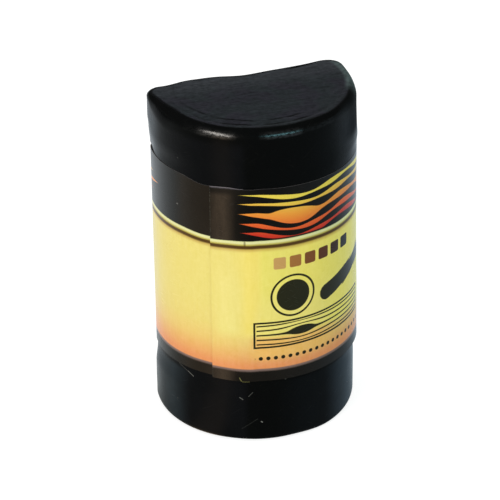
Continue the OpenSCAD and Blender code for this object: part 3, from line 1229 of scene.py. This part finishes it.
wax_block.data.materials.append(make_wax_finish())
printed_label.data.materials.append(make_label_print())
printed_label.data.materials.append(make_cut_paper())
adhesive_layer.data.materials.append(make_adhesive_finish())


# The camera: where it stands round the stick, in degrees and millimetres

camera_turn = math.radians(-17.809)
camera_rise = math.radians(28.503)
camera_roll = math.radians(-0.572)
camera_reach = 450.0
camera_aside = -0.513
camera_up = 18.07
picture_side = 500
pixels_per_radian = 3481.7
sensor_w = 36.0
near_clip = 0.01

# The pale floor, the room and its lamps, in metres

floor_r = 4.0
floor_sides = 96
floor_glow = 0.78
floor_paint = (0.4, 0.4, 0.4, 1.0)
backdrop_h = 0.6
# How the floor looks when it is mirrored in the stick, round from behind it: turn to the right of the
# camera's side in degrees, and colour as a share of mirror_level
mirror_level = 2.5
mirrored_floor = [
    (-180, (0.34, 0.37, 0.40, 1.0)),
    (-120, (0.40, 0.43, 0.45, 1.0)),
    (-95, (0.32, 0.34, 0.34, 1.0)),
    (-78, (0.21, 0.215, 0.2, 1.0)),
    (-58, (0.11, 0.11, 0.095, 1.0)),
    (-46, (0.12, 0.11, 0.09, 1.0)),
    (-36, (0.36, 0.28, 0.21, 1.0)),
    (-26, (0.44, 0.34, 0.25, 1.0)),
    (-18, (0.10, 0.095, 0.085, 1.0)),
    (0, (0.09, 0.09, 0.085, 1.0)),
    (50, (0.115, 0.13, 0.14, 1.0)),
    (90, (0.14, 0.17, 0.19, 1.0)),
    (130, (0.25, 0.305, 0.35, 1.0)),
    (180, (0.34, 0.37, 0.40, 1.0)),
]
room_fill = 0.97
room_dark = 0.18
lamp_reach = 0.5


def towards(turn, rising):
    """Direction at that turn to the right of the front and that angle above the floor."""
    flat = math.cos(rising)
    return Vector((math.sin(turn) * flat, -math.cos(turn) * flat, math.sin(rising)))


def light_path(nodes):
    """Two values: 1 for what the camera sees straight, and 1 for what is seen mirrored or through glass."""
    path = nodes.add("ShaderNodeLightPath")
    return path.out("Is Camera Ray"), path.out("Is Glossy Ray").most(path.out("Is Transmission Ray"))


def make_floor():
    """A round pale floor with a low pale backdrop round its edge."""
    mesh = bpy.data.meshes.new("pale_floor")
    turns = np.linspace(0, 2 * math.pi, floor_sides, endpoint=False)
    edge = [(floor_r * math.cos(turn), floor_r * math.sin(turn)) for turn in turns]
    points = [(x, y, z) for z in (wax_low.z, wax_low.z + backdrop_h) for x, y in edge]
    count = len(edge)
    sides = [(k, k + count, (k + 1) % count + count, (k + 1) % count) for k in range(count)]
    mesh.from_pydata(points, [], [tuple(range(count)), *sides])
    floor = add_object("pale_floor", mesh)
    material, nodes = new_material("pale floor")
    seen, mirrored = light_path(nodes)
    paint = nodes.add("ShaderNodeBsdfDiffuse", {"Color": floor_paint}).out(0)
    glow = nodes.add("ShaderNodeEmission", {"Strength": seen * floor_glow}).out(0)
    both = nodes.add("ShaderNodeAddShader", {0: paint, 1: glow}).out(0)
    x, y, _ = nodes.split(nodes.place())
    y = y - front_y
    aside = x * math.cos(camera_turn) + y * math.sin(camera_turn)
    ahead = x * math.sin(camera_turn) - y * math.cos(camera_turn)
    bearing = aside.math("ARCTAN2", ahead) * math.degrees(1)
    inputs = {"Color": colour_ramp(nodes, bearing, mirrored_floor), "Strength": mirror_level}
    reflection = nodes.add("ShaderNodeEmission", inputs).out(0)
    whole = nodes.add("ShaderNodeMixShader", {0: mirrored, 1: both, 2: reflection}).out(0)
    nodes.add("ShaderNodeOutputMaterial", {"Surface": whole})
    mesh.materials.append(material)


def make_room():
    world = bpy.data.worlds.new("pale room")
    world.use_nodes = True
    nodes = Nodes(world.node_tree)
    seen, mirrored = light_path(nodes)
    strength = seen.most(mirrored).ramp(0.0, 1.0, room_fill, room_dark)
    room = nodes.add("ShaderNodeBackground", {"Strength": strength}).out(0)
    nodes.add("ShaderNodeOutputWorld", {"Surface": room})
    bpy.context.scene.world = world


def make_lamp(name, turn, rising, length, height, tilt, level, colour, mirrored=True):
    """A long lamp at that turn to the right of the front and angle above the floor, in degrees and metres,
    whose light on a white card that faces it is as bright as level."""
    light = bpy.data.lights.new(name, "AREA")
    light.shape = "ELLIPSE"
    light.size = length
    light.size_y = height
    light.energy = level * math.pi**2 * lamp_reach**2
    light.color = colour
    lamp = add_object(name, light)
    aim = towards(math.radians(turn), math.radians(rising))
    lamp.location = Vector((0, 0, stick_h / 2 * mm)) + aim * lamp_reach
    facing = aim.to_track_quat("Z", "Y").to_matrix()
    lamp.rotation_euler = (facing @ Matrix.Rotation(math.radians(tilt), 3, "Z")).to_euler()
    lamp.visible_camera = False
    lamp.visible_glossy = mirrored


def make_camera():
    data = bpy.data.cameras.new("camera")
    data.sensor_width = sensor_w
    data.lens = pixels_per_radian / picture_side * sensor_w
    data.clip_start = near_clip
    camera = add_object("camera", data)
    back = towards(camera_turn, camera_rise)
    right = Vector((math.cos(camera_turn), math.sin(camera_turn), 0))
    up = back.cross(right)
    spot = back * camera_reach + right * camera_aside + up * camera_up + Vector((0, front_y, 0))
    side = right * math.cos(camera_roll) + up * math.sin(camera_roll)
    head = up * math.cos(camera_roll) - right * math.sin(camera_roll)
    axes = Matrix((side, head, back)).transposed().to_4x4()
    camera.matrix_world = Matrix.Translation(spot * mm) @ axes
    bpy.context.scene.camera = camera


make_floor()
make_room()
make_lamp("key_lamp", -56, 17, 0.37, 0.13, -31, 0.54, (1.0, 0.95, 0.88))
make_lamp("side_lamp", 13, 13, 0.42, 0.06, -4, 0.1, (0.36, 0.9, 1.0))
make_lamp("fill_lamp", 80, 20, 0.3, 0.3, 0, 0.13, (0.55, 1.0, 0.75), mirrored=False)
make_camera()
bpy.context.scene.view_settings.view_transform = "Standard"
